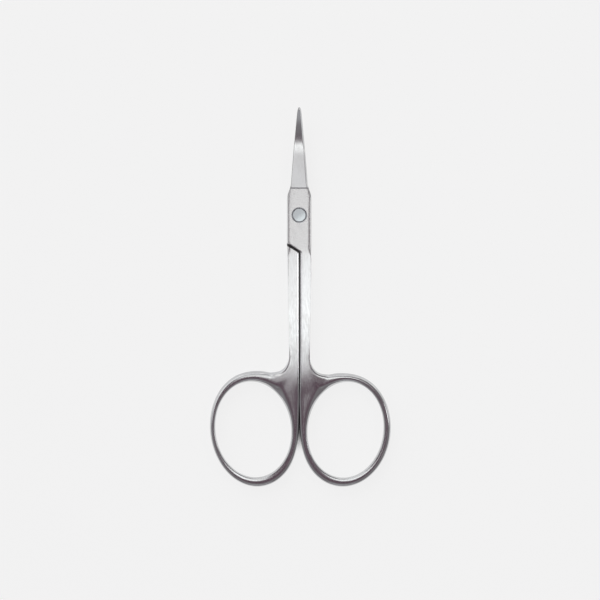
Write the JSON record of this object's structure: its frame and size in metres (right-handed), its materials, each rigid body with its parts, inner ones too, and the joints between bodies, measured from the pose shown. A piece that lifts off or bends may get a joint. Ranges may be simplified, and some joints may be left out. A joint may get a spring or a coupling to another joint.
{
  "type": "nail scissors",
  "caption": "Small hand scissors with slim upturned blades, a flush rivet pivot and two oval finger bows, for trimming nails and cuticles.",
  "frame": {"origin": "on the rivet's axis, in the plane of the back faces on which the scissors lie", "axes": "+Y from the rivet towards the points, +X to the right of someone looking at the front face, +Z out of the front face, along the rivet's axis"},
  "size_m": [0.0429, 0.0899, 0.004],
  "materials": {
    "front_steel": "satin flats, polished bows",
    "back_steel": "satin flats, polished bows",
    "rivet_steel": "polished low dome"
  },
  "bodies": {
    "back": {"back_half": "back_steel", "pivot_rivet": "rivet_steel"},
    "front": {"front_half": "front_steel"}
  },
  "joints": [
    {"name": "blade_pivot", "type": "hinge", "parent": "back", "child": "front", "pos_m": [0, 0, 0.0013], "axis": [0, 0, 1], "range_deg": [0, 140]}
  ]
}
